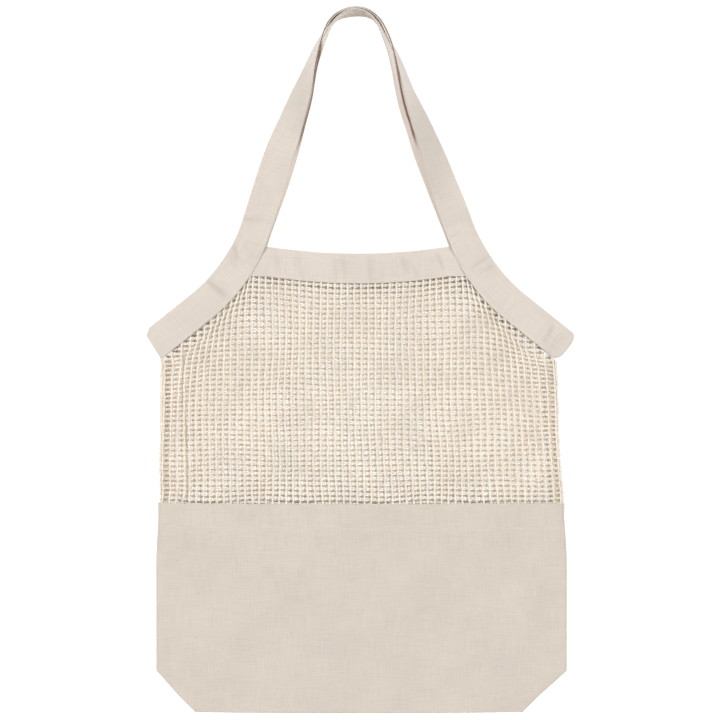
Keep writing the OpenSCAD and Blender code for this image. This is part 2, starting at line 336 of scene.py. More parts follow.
class Yarns:
    """Many closed tubes gathered into one mesh."""

    def __init__(self):
        self.points, self.quads, self.caps = [], [], []
        self.inside, self.cloth = [], []
        self.count = 0

    def add(self, path, radius, sides, facing=0.0, spin=0.0, shade=1.0):
        """A tube along path, (n, 3). facing is the sign of Y that points into the bag, 0 for none. The sides
        facing into the bag take painted shade, scaled by shade.
        """
        path = np.asarray(path)
        n = len(path)
        tangent = np.gradient(path, axis=0)
        tangent /= np.linalg.norm(tangent, axis=1)[:, None]
        depth = np.array([0.0, 1.0, 0.0])
        one = np.cross(tangent, depth)
        length = np.linalg.norm(one, axis=1)[:, None]
        one = np.where(length > 0.2, one / np.maximum(length, 1e-9), [1.0, 0.0, 0.0])
        two = np.cross(one, tangent)
        angle = 2 * math.pi * np.arange(sides) / sides + spin
        radius = np.broadcast_to(radius, (n,))
        way = one[:, None, :] * np.cos(angle)[None, :, None] + two[:, None, :] * np.sin(angle)[None, :, None]
        ring = path[:, None, :] + way * radius[:, None, None]
        self.points.append(ring.reshape(-1, 3))
        self.quads.append(ring_quads(n, sides) + self.count)
        last = self.count + (n - 1) * sides
        self.caps.append(np.arange(self.count + sides - 1, self.count - 1, -1))
        self.caps.append(np.arange(last, last + sides))
        painted_shade = smooth((way[..., 1] * facing + 0.15) / 0.8) * np.broadcast_to(shade, (n,))[:, None]
        self.inside.append(painted_shade.ravel())
        run = path_length(path)
        lay = stacked(run[:, None], angle[None, :] * radius[:, None], 0.0)
        self.cloth.append(lay.reshape(-1, 3))
        self.count += n * sides

    def piece(self, name):
        return make_piece(name, np.concatenate(self.points), np.concatenate(self.quads), self.caps,
                          cloth=np.concatenate(self.cloth), inside=np.concatenate(self.inside))


# --- Materials ---
class Nodes:
    """Short ways to add shader nodes to a material."""

    def __init__(self, name):
        self.material = bpy.data.materials.new(name)
        self.material.use_nodes = True
        self.tree = self.material.node_tree
        self.shader = self.tree.nodes["Principled BSDF"]

    def node(self, kind, **settings):
        made = self.tree.nodes.new(kind)
        for key, value in settings.items():
            setattr(made, key, value)
        return made

    def link(self, value, socket):
        if isinstance(value, bpy.types.NodeSocket):
            self.tree.links.new(value, socket)
        else:
            socket.default_value = value

    def fill(self, made, values):
        """Sets or links a node's inputs by name."""
        for name, value in values.items():
            self.link(value, made.inputs[name])
        return made

    def math(self, operation, a, b=0.0, c=0.0, clamp=False):
        made = self.node("ShaderNodeMath", operation=operation, use_clamp=clamp)
        for value, socket in zip((a, b, c), made.inputs):
            self.link(value, socket)
        return made.outputs[0]

    def parts(self, vector):
        split = self.node("ShaderNodeSeparateXYZ")
        self.link(vector, split.inputs[0])
        return split.outputs["X"], split.outputs["Y"]

    def stretch(self, vector, scale):
        made = self.node("ShaderNodeVectorMath", operation="MULTIPLY")
        self.link(vector, made.inputs[0])
        made.inputs[1].default_value = scale
        return made.outputs[0]

    def noise(self, vector, scale, detail=3.0, rough=0.55):
        made = self.fill(self.node("ShaderNodeTexNoise"),
                         {"Vector": vector, "Scale": scale, "Detail": detail, "Roughness": rough})
        return made.outputs["Fac"]

    def ramp(self, value, low, high, to_low=0.0, to_high=1.0):
        made = self.fill(
            self.node("ShaderNodeMapRange", interpolation_type="SMOOTHSTEP"),
            {"Value": value, "From Min": low, "From Max": high, "To Min": to_low, "To Max": to_high})
        return made.outputs["Result"]

    def mix(self, factor, a, b, blend="MIX"):
        made = self.node("ShaderNodeMix", data_type="RGBA", blend_type=blend)
        self.link(factor, made.inputs["Factor"])
        for value, socket in ((a, made.inputs["A"]), (b, made.inputs["B"])):
            self.link(value if isinstance(value, bpy.types.NodeSocket) else (*value, 1.0), socket)
        return made.outputs["Result"]

    def attribute(self, name, output="Vector"):
        return self.node("ShaderNodeAttribute", attribute_name=name).outputs[output]

    def finish(self, colour, height, depth, rough=0.9, sheen=0.12):
        raised = self.fill(self.node("ShaderNodeBump"),
                           {"Strength": 1.0, "Distance": depth, "Height": height})
        self.fill(self.shader, {
            "Base Color": colour, "Roughness": rough, "Specular IOR Level": 0.15, "Sheen Weight": sheen,
            "Sheen Roughness": 0.5, "Diffuse Roughness": 1.0, "Normal": raised.outputs["Normal"]})
        return self.material


def toned(base, factor):
    return tuple(min(1.0, c * factor) for c in base)


def woven(name, base, pitch, depth, flecks=0.5, slubs=0.05, patches=0.05, shaded=None):
    """Plain-woven cotton: warp and weft over and under, uneven yarns, soft patches and seed flecks."""
    n = Nodes(name)
    cloth = n.attribute("cloth")
    threads = n.stretch(cloth, (1 / pitch, 1 / pitch, 0))
    wobble = n.noise(n.stretch(cloth, (1, 1, 1)), 90.0, 2.0)
    places = [n.math("ADD", part, n.math("MULTIPLY", wobble, 0.8)) for part in n.parts(threads)]
    warp, weft = (n.math("ABSOLUTE", n.math("SINE", n.math("MULTIPLY", at, math.pi))) for at in places)
    cell = n.math("ADD", *(n.math("FLOOR", at) for at in places))
    over = n.math("PINGPONG", cell, 1.0)
    height = n.math("ADD", n.math("MULTIPLY", over, warp),
                    n.math("MULTIPLY", n.math("SUBTRACT", 1.0, over), weft))
    slubs_both = (n.noise(n.stretch(cloth, way), 1.0, 2.0) for way in ((40, 900, 0), (900, 40, 0)))
    slub = n.math("SUBTRACT", n.math("ADD", *slubs_both), 1.0)
    height = n.math("ADD", height, n.math("MULTIPLY", slub, 2.0))

    patch = n.noise(cloth, 16.0, 3.0)
    fleck = n.ramp(n.noise(cloth, 420.0, 1.0), 0.70, 0.78, 0.0, flecks)
    pale = n.ramp(n.noise(n.stretch(cloth, (1, 1, 0)), 300.0, 1.0), 0.66, 0.76, 0.0, flecks)
    colour = n.mix(n.ramp(patch, 0.3, 0.7), toned(base, 1 - patches), toned(base, 1 + patches))
    yarn = n.ramp(slub, -0.35, 0.35, 1 - slubs, 1 + slubs)
    # Painted shade: up to 6% darker low in the weave; the slubs vary the tone at random.
    shade = n.math("MULTIPLY", yarn, n.ramp(height, 0.0, 0.6, 0.94, 1.0))
    made = n.node("ShaderNodeVectorMath", operation="SCALE")
    n.link(colour, made.inputs[0])
    n.link(shade, made.inputs["Scale"])
    colour = n.mix(fleck, made.outputs[0], (base[0] * 0.62, base[1] * 0.50, base[2] * 0.38))
    colour = n.mix(pale, colour, toned(base, 1.12))
    # Painted shade, by the inside attribute.
    if shaded is not None:
        colour = n.mix(n.attribute("inside", "Fac"), colour, shaded)
    return n.finish(colour, height, depth)


def spun(name, base, shaded, twist, depth):
    """Soft spun yarn: slanting fibres, and a warm painted shade, deepening to dark, where a yarn faces into
    the bag.
    """
    n = Nodes(name)
    cloth = n.attribute("cloth")
    along_yarn, round_yarn = n.parts(cloth)
    slant = n.math("ADD", n.math("MULTIPLY", along_yarn, 1 / twist),
                   n.math("MULTIPLY", round_yarn, 1 / (0.7 * twist)))
    fibre = n.noise(n.stretch(cloth, (1500, 4000, 0)), 1.0, 2.0)
    ply = n.math("SINE", n.math("MULTIPLY", slant, 2 * math.pi))
    height = n.math("ADD", n.math("MULTIPLY", ply, 0.5), fibre)
    place = n.node("ShaderNodeTexCoord").outputs["Object"]
    patch = n.ramp(n.noise(place, 40.0, 3.0), 0.3, 0.7)
    colour = n.mix(patch, toned(base, 0.93), toned(base, 1.03))
    fuzz = (base[0] * 0.7, base[1] * 0.62, base[2] * 0.5)
    colour = n.mix(n.ramp(fibre, 0.3, 0.75, 0.0, 0.14), colour, fuzz)
    # Painted shade by the inside attribute: warm, then dark above 0.66.
    if shaded is not None:
        inside = n.attribute("inside", "Fac")
        colour = n.mix(n.ramp(inside, 0.0, 0.65), colour, shaded)
        colour = n.mix(n.ramp(inside, 0.66, 1.0), colour, tuple(c * c * 0.6 for c in shaded))
    made = n.finish(colour, height, depth, sheen=0.8)
    n.shader.inputs["Diffuse Roughness"].default_value = 0.2
    return made


CANVAS_COLOUR = (0.745, 0.682, 0.614)
STRAP_COLOUR = (0.772, 0.712, 0.648)
# Painted shade: the dark brown that the strap cloth takes in the wedge between the handles and in crease
# hollows.
PAINTED_SHADE_BROWN = (0.200, 0.085, 0.045)
NET_COLOUR = (0.985, 0.914, 0.820)
# Painted shade on the net yarns' sides facing into the bag: warm, and darker where painted_hole_shade is
# high.
PAINTED_INSIDE_SHADE = (1.000, 0.865, 0.700)
ALLOWANCE_COLOUR = (0.980, 0.890, 0.760)

canvas_cloth = woven("unbleached canvas", CANVAS_COLOUR, 0.9 * MM, 0.05 * MM, flecks=0.45, slubs=0.025,
                     patches=0.02)
strap_cloth = woven("pressed strap cloth", STRAP_COLOUR, 0.6 * MM, 0.035 * MM, flecks=0.25, slubs=0.02,
                    patches=0.02, shaded=PAINTED_SHADE_BROWN)
net_yarn = spun("net yarn", NET_COLOUR, PAINTED_INSIDE_SHADE, 1.6 * MM, 0.06 * MM)
seam_cloth = woven("seam allowance cloth", ALLOWANCE_COLOUR, 0.8 * MM, 0.06 * MM)
sewing_thread = spun("sewing thread", (0.84, 0.77, 0.69), None, 0.5 * MM, 0.02 * MM)


def finished(piece, material, body=None, stands_for=()):
    piece.data.materials.append(material)
    if stands_for:
        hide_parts(*stands_for)
    if body:
        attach(piece, body)
    return piece


# --- Camera and light ---
VIEW_AT = Vector((-1.5 * MM, 0, -338.0 * MM))
VIEW_AWAY = 1.40
VIEW_FROM = VIEW_AT + Vector((0, -VIEW_AWAY, 0))
VIEW_WIDTH = 0.699
FRONT_OF_BAG = 0.005
SENSOR_W = 36

camera = placed("camera", bpy.data.cameras.new("camera"))
camera.location = VIEW_FROM
camera.rotation_euler = (VIEW_AT - VIEW_FROM).to_track_quat("-Z", "Y").to_euler()
camera.data.sensor_width = SENSOR_W
camera.data.lens = SENSOR_W * (VIEW_AWAY - FRONT_OF_BAG) / VIEW_WIDTH
scene.camera = camera
scene.view_settings.view_transform = "Standard"


def softbox(name, place, size, power, colour=(1.0, 1.0, 1.0)):
    light = bpy.data.lights.new(name, "AREA")
    light.shape = "RECTANGLE"
    light.size, light.size_y = size
    light.energy = power
    light.color = colour
    lamp = placed(name, light)
    lamp.location = place
    lamp.rotation_euler = (VIEW_AT - Vector(place)).to_track_quat("-Z", "Y").to_euler()


softbox("key light", (-1.7, -1.5, 0.55), (0.9, 0.9), 33)
softbox("fill light", (1.6, -1.7, -0.1), (1.2, 1.2), 26)
softbox("rear key light", (1.7, 1.5, 0.55), (0.9, 0.9), 28)
softbox("rear fill light", (-1.6, 1.7, -0.1), (1.2, 1.2), 13)

world = bpy.data.worlds.new("studio")
scene.world = world
world.use_nodes = True
sky = world.node_tree
seen = sky.nodes.new("ShaderNodeBackground")
seen.inputs["Color"].default_value = (1, 1, 1, 1)
seen.inputs["Strength"].default_value = 1.05
lit = sky.nodes["Background"]
lit.inputs["Color"].default_value = (1.0, 0.985, 0.97, 1)
lit.inputs["Strength"].default_value = 0.38
choose = sky.nodes.new("ShaderNodeMixShader")
path = sky.nodes.new("ShaderNodeLightPath")
sky.links.new(path.outputs["Is Camera Ray"], choose.inputs[0])
sky.links.new(lit.outputs[0], choose.inputs[1])
sky.links.new(seen.outputs[0], choose.inputs[2])
sky.links.new(choose.outputs[0], sky.nodes["World Output"].inputs["Surface"])

FLOOR_Z = -0.95
FLOOR_HALF = 30
floor_mesh = bpy.data.meshes.new("floor")
corners = ((-1, -1), (1, -1), (1, 1), (-1, 1))
floor_mesh.from_pydata([(x * FLOOR_HALF, y * FLOOR_HALF, FLOOR_Z) for x, y in corners], [], [(0, 1, 2, 3)])
floor = placed("floor", floor_mesh)
pale = Nodes("pale floor")
pale.fill(pale.shader, {
    "Base Color": (0.6, 0.6, 0.6, 1), "Roughness": 1.0, "Emission Color": (1, 1, 1, 1),
    "Emission Strength": pale.node("ShaderNodeLightPath").outputs["Is Camera Ray"]})
floor_mesh.materials.append(pale.material)

# --- Folds and dents in the flat cloth: (x, z) of both ends, half width, depth, in millimetres.
# A depth below 0 is a ridge. They are laid out on the front; the rear has its own.
BAND_CREASES = [
    (74, -236, 79, -250, 1.6, 0.9), (50, -246, 54, -258, 2.0, 0.45), (39, -238, 44, -252, 2.4, 0.5),
    (8, -238, 9, -262, 3.2, 0.55), (-19, -236, -16, -258, 2.2, 0.5), (-26, -238, -25, -262, 2.6, 0.35),
    (-62, -232, -58, -258, 3.5, 0.4), (-84, -232, -80, -254, 3.5, 0.35), (-3, -238, -4, -262, 4.0, -0.3),
    (62, -236, 66, -258, 3.5, -0.45), (27, -238, 28, -262, 4.5, -0.3), (-45, -236, -46, -262, 5.0, -0.35),
]
# Painted shade in crease hollows: this share of the strap cloth's painted shade colour, reached at 1 mm
# deep.
PAINTED_CREASE_SHADE = 0.15
STRAP_CREASES = [
    (-125, -224, -120, -240, 2.0, 1.0), (-149, -262, -136, -272, 2.2, 1.4),
    (-145, -258, -134, -264, 1.6, -0.8), (-118, -200, -97, -204, 2.2, 0.5),
    (-112, -226, -104, -246, 3.0, 0.35),
    (-128, -236, -122, -246, 3.5, 0.5), (-140, -270, -127, -280, 3.5, 0.5),
    (86, -219, 95, -214, 1.4, 0.7), (105, -249, 123, -239, 1.5, 0.8), (115, -253, 129, -247, 1.5, 0.8),
    (110, -252, 126, -242, 1.6, -0.5), (91, -238, 98, -249, 1.2, 0.8), (186, -306, 178, -320, 2.0, 0.9),
    (-98, -232, -102, -240, 1.2, 0.6),
]


def creased(x, z, creases, mirrored=False):
    """How far the creases press the cloth in."""
    total = np.zeros(np.shape(x))
    x = x + sway(z)
    for x0, z0, x1, z1, wide, deep in creases:
        a = np.array([-x0 if mirrored else x0, z0]) * MM
        b = np.array([-x1 if mirrored else x1, z1]) * MM
        run = b - a
        t = ((x - a[0]) * run[0] + (z - a[1]) * run[1]) / (run @ run)
        held = unit(t)
        apart = np.hypot(x - a[0] - held * run[0], z - a[1] - held * run[1])
        total = total + deep * MM * bump(apart / (wide * MM)) * (0.55 + 0.45 * np.sin(math.pi * held))
    return total


# --- Folded strips: the bands and the straps ---
FREE_TAPER = 6 * MM
FOLD_GAP = 0.05 * MM
EDGE_PARTS = 3


class Section:
    """The cross-section of a strip folded in two at its last edge, as an outer and an inner path.

    w is the offset across, y the height above the strip's middle, gap the signed share of the free
    gap between the two layers, and side is 1 on the front layer and -1 on the rear one.
    """

    def __init__(self, first, last, parts, fold_parts=6):
        fold_out = FOLD_GAP + LAYER
        flat = np.linspace(first + LAYER / 2, last - fold_out, parts)
        turn = np.linspace(0, math.pi, fold_parts + 2)[1:-1]
        self.w, self.y, self.gap, self.side = [], [], [], []
        for out in (1, 0):
            height = FOLD_GAP + LAYER * out
            first_angle, last_angle = (175, 105) if out else (185, 255)
            round_edge = np.radians(np.linspace(first_angle, last_angle, EDGE_PARTS))
            edge_w = first + LAYER / 2 + LAYER / 2 * np.cos(round_edge)
            edge_y = FOLD_GAP + LAYER / 2 + LAYER / 2 * np.sin(round_edge)
            share = smooth((last - fold_out - flat) / FREE_TAPER)
            fold_w = last - fold_out + height * np.sin(turn)
            fold_y = height * np.cos(turn)
            w = np.concatenate([edge_w, flat, fold_w, flat[::-1], edge_w[::-1]])
            level = np.full(parts, height)
            y = np.concatenate([edge_y, level, fold_y, -level, -edge_y[::-1]])
            gap = np.concatenate([np.ones(EDGE_PARTS), share, np.zeros(len(turn)), -share[::-1],
                                  -np.ones(EDGE_PARTS)])
            self.w.append(w)
            self.y.append(y)
            self.gap.append(gap)
            self.side.append(np.sign(y) * (1 - hump(w - last, 0, 1.5)))
        # One ring: out along the outer path and back along the inner one
        self.length = len(self.w[0])
        join = lambda part: np.concatenate([part[0], part[1][::-1]])
        self.w, self.y, self.gap, self.side = map(join, (self.w, self.y, self.gap, self.side))
        step = np.hypot(np.diff(self.w, append=self.w[:1]), np.diff(self.y, append=self.y[:1]))
        self.round = np.concatenate([[0], np.cumsum(step)[:-1]])

    def caps(self, rings):
        m, n = self.length, 2 * self.length
        faces = []
        for base, flip in ((0, False), ((rings - 1) * n, True)):
            for i in range(m - 1):
                face = [base + i, base + i + 1, base + n - 2 - i, base + n - 1 - i]
                faces.append(face if flip else face[::-1])
        return faces

    def piece(self, name, points, run, inside=None):
        """points is (rings, ring, 3) and run the distance along the strip, (rings, ring)."""
        rings, n = points.shape[:2]
        inside = np.zeros((rings, n)) if inside is None else inside
        cloth = stacked(run, self.round[None, :], 0.0)
        caps = self.caps(rings)
        quads = ring_quads(rings, n)
        return make_piece(name, points.reshape(-1, 3), quads, caps, cloth=cloth.reshape(-1, 3),
                          inside=inside.ravel())


# --- The straps ---
# The legs turn flat between these path lengths, and stand apart by a step, on the left and the right
TWIST = {
    ("front", -1): (22 * MM, 206 * MM), ("front", 1): (30 * MM, 268 * MM),
    ("rear", -1): (42 * MM, 238 * MM), ("rear", 1): (40 * MM, 266 * MM),
}
HEM_DEPTH = float(net_depth(HEM_X, HEM_Z))
OVER_BAND = 2.3 * MM
OVER_NET = 1.4 * MM
BAND_LEAVE = float(strap_at_z(HEM_Z - BAND_DROP - BAND_H, BAND_TUCK - STRAP_W / 2)) + 2 * MM
HANDLE_STEP = 1.15 * MM
LEG_STEP = {-1: -0.9 * MM, 1: 0.4 * MM}
LEG_SPREAD = 2.6 * MM
NEST_CENTRE = -1.35 * MM


def strap_twist(a, step, half):
    begin, end = TWIST["front" if step > 0 else "rear", half]
    share = unit((a - begin) / (end - begin))
    # At the arch's shoulders both straps lean the same way
    lean = step * 0.10 * hump(a, 22, 12)
    return math.pi / 4 * (share + smooth(share)) + lean


def pressed(a):
    """The bag's weight presses the straps thinner where they hang."""
    return 0.7 + 0.3 * rise(a, 40, 60)


def nest_offset(a, step, half):
    """Where a handle lies in the nest: step is 1 for the outer one, in front, and -1 for the inner."""
    fade = fall(a, 150, 70)
    on_leg = rise(a, 38, 30) * fall(a, 140, 60)
    apart = HANDLE_STEP + LEG_STEP[half] * on_leg
    centre = NEST_CENTRE * fall(a, 60, 120)
    centre = centre - 0.5 * MM * fall(a, 28, 24)
    shoulder = 1.3 if half > 0 else 0.7
    centre = centre + shoulder * MM * hump(a, 21, 9)
    if half > 0:
        centre = centre + 0.8 * MM * hump(a, 12, 7)
    spread = LEG_SPREAD * hump(a, 62, 28) * rise(a, 0, 30)
    return (step * apart * pressed(a) + centre) * fade + spread


def handle_depth(a):
    bow = 12 * MM * np.sin(math.pi * unit(a / (BEND_START + HEM_PAST_BEND))) ** 1.3
    return HEM_DEPTH * rise(a, 0, 60) + bow


def strap_point(a, w, proud, step, half):
    """A strap's point, as if on the right half of its path. proud is towards the outside of the bag."""
    turn = strap_twist(a, step, half)
    tilted = rise(a, 90, 50) * fall(a, 245, 50)
    w = w * (1 - 0.055 * tilted)
    out = w * np.sin(turn) + proud * np.cos(turn) + nest_offset(a, step, half)
    xz = strap_xz(a, out)
    x, z = xz[..., 0], xz[..., 1]
    on_net = rise(a - BEND_START, -22, 25)
    near_tip = rise(a - STRAP_END, -15, 15)
    on_panel = SIDE_DEPTH + swell_at(z) * np.maximum(0, 1 - (x / half_width(z)) ** 2)
    lying = mix(on_panel, LAYER + 0.1 * MM, near_tip)
    depth = mix(handle_depth(a), lying, on_net)
    y = -depth + w * np.cos(turn) - proud * np.sin(turn)
    return stacked(x, y, z)


def strap_gap(a):
    """Half the free gap between a strap's layers, where it holds the band and the net."""
    opened = rise(a - BEND_START, -12, 20)
    over = mix(OVER_BAND, OVER_NET, rise(a - BAND_LEAVE, 0, 12))
    closed = fall(a - STRAP_END, -15, 11)
    return (over - FOLD_GAP) * opened * closed


STITCH_IN = 2 * MM
STITCH_PITCH = 3 * MM
THREAD_R = 0.19 * MM
# One lockstitch: where its points lie along the row, and how far they stand over the cloth
STITCH_RUN = np.linspace(-0.42, 0.42, 5) * STITCH_PITCH
STITCH_RISE = np.array([-0.30, 0.10, 0.16, 0.10, -0.30]) * MM


def stitched_edge(from_edge, rim_at):
    """The groove that the stitches pull in, and the rim between it and the open edge."""
    return -0.16 * MM * hump(from_edge - STITCH_IN, 0, 0.7) + 0.10 * MM * hump(from_edge, rim_at, 0.8)


def strap_relief(a, w, x, z, step, half):
    """How far a strap stands in or out: what moves both layers together, and what is each face's own."""
    seed = 11 + 2 * step + (1 if half > 0 else 0)
    across_share = w / (STRAP_W / 2)
    worn = Wander(seed, 70 * MM, 60 * MM)(a, w) * 0.16 * MM
    free = rise(a, 0, 60) * fall(a, 180, 80)
    cupped = -0.55 * MM * (1 - across_share ** 2) * free
    from_edge = w + STRAP_W / 2
    beside_seam = hump(from_edge - STITCH_IN, 0, 1.6)
    puckers = 0.05 * MM * np.sin(2 * math.pi * a / STITCH_PITCH) * beside_seam
    folds = -creased(x, z, STRAP_CREASES, mirrored=step < 0)
    # The band's end shows as a soft edge under the strap
    band_edge = BAND_TUCK - STRAP_W / 2
    over_band = rise(a - BEND_START, 8, 6) * fall(a - BAND_LEAVE, 0, 8)
    edge = -0.35 * MM * hump(w - band_edge, 0, 1.3) * over_band
    return worn + cupped + folds + edge, stitched_edge(from_edge, 0.9) + puckers


def painted_wedge_shade(a, w, step, half):
    """Where a strap's inner face is painted dark brown shade, 0 to 1: the painted shade of the wedge between
    the handles, a line by the front strap's inner edge and a band on the rear strap's inner face.
    """
    if step > 0:
        nested = rise(a, 8, 16) * fall(a, 85, 20)
        return 0.7 * nested * fall(w + STRAP_W / 2, 2, 1.5)
    edge = nest_offset(a, -step, half) - STRAP_W / 2 * np.sin(strap_twist(a, -step, half))
    own = nest_offset(a, step, half) + w * np.sin(strap_twist(a, step, half))
    close = rise(a, 8, 16) * fall(a, 135, 25)
    narrow = 1.0 * MM + 0.9 * MM * rise(a, 60, 40)
    past = own - edge - narrow
    return close * rise(past, 0, 1.2) * fall(past, 2.0, 1.5)


STRAP_STATIONS = np.append(np.arange(0, STRAP_END, 2 * MM), STRAP_END)


def tip_shape(a, w, half):
    """The left tip is cut at a slant with its corner off; the right one is rounded off."""
    if half > 0:
        near = rise(a - STRAP_END, -14, 14)
        return a + near * (3.5 * MM - 5.0 * MM * (w / STRAP_W * 2) ** 4)
    near = rise(a - STRAP_END, -24, 24)
    slant = 3.6 * MM * (w / STRAP_W + 0.5)
    corner = 6.5 * MM * unit((w - 11.5 * MM) / (4 * MM))
    return a - near * (slant + corner)


def build_strap(name, step):
    section = Section(-STRAP_W / 2, STRAP_W / 2, 15)
    stations = STRAP_STATIONS
    parts, shades = [], []
    for half in (-1, 1):
        a = tip_shape(stations[:, None], section.w[None, :], half)
        w = np.broadcast_to(section.w[None, :], a.shape)
        rough = strap_point(a, w, 0.0, step, half)
        shared, own = strap_relief(a, w, half * rough[..., 0], rough[..., 2], step, half)
        gap = strap_gap(a)
        proud = section.y[None, :] + section.gap[None, :] * gap + section.side[None, :] * own
        proud = proud + shared
        pinch = 1 - 0.45 * rise(a - STRAP_END, -2.5, 2.5)
        points = strap_point(a, w, proud * pinch * pressed(a), step, half)
        points[..., 0] *= half
        hollow = creased(half * rough[..., 0], rough[..., 2], STRAP_CREASES, mirrored=step < 0)
        # Painted shade on the inner layer: the wedge between the handles, and darker crease hollows.
        shade = painted_wedge_shade(a, w, step, half) * (section.y < 0)[None, :]
        shade = np.maximum(shade, PAINTED_CREASE_SHADE * unit(hollow / MM))
        parts.append(points if half > 0 else points[::-1])
        shades.append(shade if half > 0 else shade[::-1])
    points = np.concatenate([parts[0][:-1], parts[1]])
    shade = np.concatenate([shades[0][:-1], shades[1]])
    run = np.concatenate([-stations[::-1][:-1], stations])[:, None]
    points[..., 1] *= step
    return section.piece(name, points, run, shade)


def build_strap_thread(name, step):
    """Lockstitches on both faces of the strap, set in from its open edge."""
    yarns = Yarns()
    for half in (-1, 1):
        for middle in np.arange(STITCH_PITCH / 2, STRAP_END - 3 * MM, STITCH_PITCH):
            a = middle + STITCH_RUN
            w = np.full(len(a), STITCH_IN - STRAP_W / 2)
            rough = strap_point(a, w, 0.0, step, half)
            shared, own = strap_relief(a, w, half * rough[..., 0], rough[..., 2], step, half)
            for side in (1, -1):
                proud = side * (FOLD_GAP + LAYER + strap_gap(a) + own + STITCH_RISE) + shared
                points = strap_point(a, w, proud * pressed(a), step, half)
                points[..., 0] *= half
                points[..., 1] *= step
                yarns.add(points, THREAD_R, 6)
    return yarns.piece(name)


for side, step in SIDES:
    ends = (f"{side}_left_strap_end", f"{side}_right_strap_end")
    strap = build_strap(f"{side}_strap", step)
    finished(strap, strap_cloth, stands_for=(f"{side}_handle", *ends))
    thread = build_strap_thread(f"{side}_strap_thread", step)
    finished(thread, sewing_thread,
             stands_for=(f"{side}_handle_stitching", f"{side}_strap_end_stitching"))
    for piece in (strap, thread):
        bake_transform(piece)

# --- The hem bands ---
BAND_SLOT = 1.2 * MM


def band_relief(x, z, step):
    seed = 31 + step
    wave = Wander(seed, 34 * MM, 160 * MM)(x, z) * 0.30 * MM
    fine = Wander(seed + 5, 12 * MM, 60 * MM)(x, z) * 0.07 * MM
    low = z - (band_top(x) - BAND_H)
    folds = -creased(x, z, BAND_CREASES, mirrored=step < 0)
    held = rise(BAND_H - low, 0, 3)
    return (wave + fine + folds) * held * rise(low, 0, 4), stitched_edge(low, 0.8)


def band_point(u, h, proud):
    end = strap_x(HEM_Z - BAND_H + h, BAND_TUCK - STRAP_W / 2)
    x = u * end
    z = band_top(x) - BAND_H + h
    depth = SIDE_DEPTH + swell_at(z) * np.maximum(0, 1 - (x / half_width(z)) ** 2)
    return stacked(x, -(depth + proud), z)


def build_band(name, step):
    section = Section(0.0, BAND_H, 16)
    u = np.linspace(-1, 1, 181)[:, None]
    h = section.w[None, :]
    flat = band_point(u, h, 0.0)
    shared, own = band_relief(flat[..., 0], flat[..., 2], step)
    proud = section.y[None, :] + section.gap[None, :] * (BAND_SLOT - FOLD_GAP)
    points = band_point(u, h, proud + section.side[None, :] * own + shared)
    points[..., 1] *= step
    hollow = creased(flat[..., 0], flat[..., 2], BAND_CREASES, mirrored=step < 0)
    # The crease hollows take painted shade.
    return section.piece(name, points, points[..., 0], PAINTED_CREASE_SHADE * unit(hollow / MM))


def build_band_thread(name, step):
    yarns = Yarns()
    reach = strap_x(HEM_Z - BAND_H, -STRAP_W / 2)
    for middle in np.arange(-reach, reach, STITCH_PITCH):
        u = (middle + STITCH_RUN) / strap_x(HEM_Z - BAND_H + STITCH_IN, BAND_TUCK - STRAP_W / 2)
        flat = band_point(u, STITCH_IN, 0.0)
        shared, own = band_relief(flat[..., 0], flat[..., 2], step)
        for side in (1, -1):
            points = band_point(u, STITCH_IN, side * (BAND_SLOT + LAYER + own + STITCH_RISE) + shared)
            points[..., 1] *= step
            yarns.add(points, THREAD_R, 6)
    return yarns.piece(name)


for side, step in SIDES:
    band = build_band(f"{side}_hem", step)
    finished(band, strap_cloth, "bag", (f"{side}_top_band",))
    thread = build_band_thread(f"{side}_hem_thread", step)
    finished(thread, sewing_thread, "bag", (f"{side}_band_stitching",))

# --- The net: pillars of two plies twisted round each other, and pairs of cross threads through them ---
COLUMNS = 58
OUTER_COLUMN = 0.993
ROW = 4.9 * MM
PLY_R = 0.76 * MM
PLY_APART = 0.40 * MM
CROSS_R = 0.52 * MM
CROSS_APART = 0.56 * MM
YARN_SIDES = 5
# Shorter yarns, in points, are left out
SHORTEST_PILLAR = 8
SHORTEST_CROSS = 6
NET_LOW_Z = SEAM_Z - 6 * MM
PLEAT_X = -171 * MM


def net_place(u, v):
    """Where the net's flat point lies in the bag's plane: share u of the half width, flat height v."""
    x_flat = u * half_width(v)
    out = np.abs(x_flat)
    under_band = rise(v - HEM_Z, -105, 75)
    sag = BAND_SAG * np.minimum(1.0, (out / (105 * MM)) ** 2) * under_band
    below = np.maximum(armhole_z(np.maximum(out, 90 * MM), -STRAP_W / 2) - v, 0)
    droop = 9 * MM * rise(out, 104, 70) * np.exp(-below / (38 * MM))
    z = v + sag - droop
    z = z + Wander(51, 120 * MM, 60 * MM)(x_flat, v) * 0.5 * MM
    x = u * half_width(z)
    between = rise(out, 90, 32) * fall(out, 165, 28)
    x = x - np.sign(u) * 6.8 * MM * between * np.exp(-below / (16 * MM))
    x = x + Wander(52, 90 * MM, 130 * MM)(x_flat, v) * 0.45 * MM
    # The pleat draws the columns to its left over those to its right
    held = rise(HEM_Z - 100 * MM - v, 0, 12) * rise(v - SEAM_Z, -2, 16)
    left = rise(PLEAT_X + 3 * MM - x, 0, 5) * rise(x - PLEAT_X, -34, 26)
    x = x + 2.2 * MM * left * held
    return x, z


def pleat_height(x, z):
    held = rise(HEM_Z - 100 * MM - z, 0, 12) * rise(z - SEAM_Z, 0, 10)
    wobble = 1.2 * MM * np.sin((z - SEAM_Z) / (26 * MM))
    at = x - PLEAT_X - wobble
    left = rise(-at, 0, 2.4) * hump(np.minimum(at, 0), 0, 16)
    right = rise(at, 0, 2.4) * hump(np.maximum(at, 0), 0, 9)
    return (2.2 * left - 1.6 * right) * MM * held


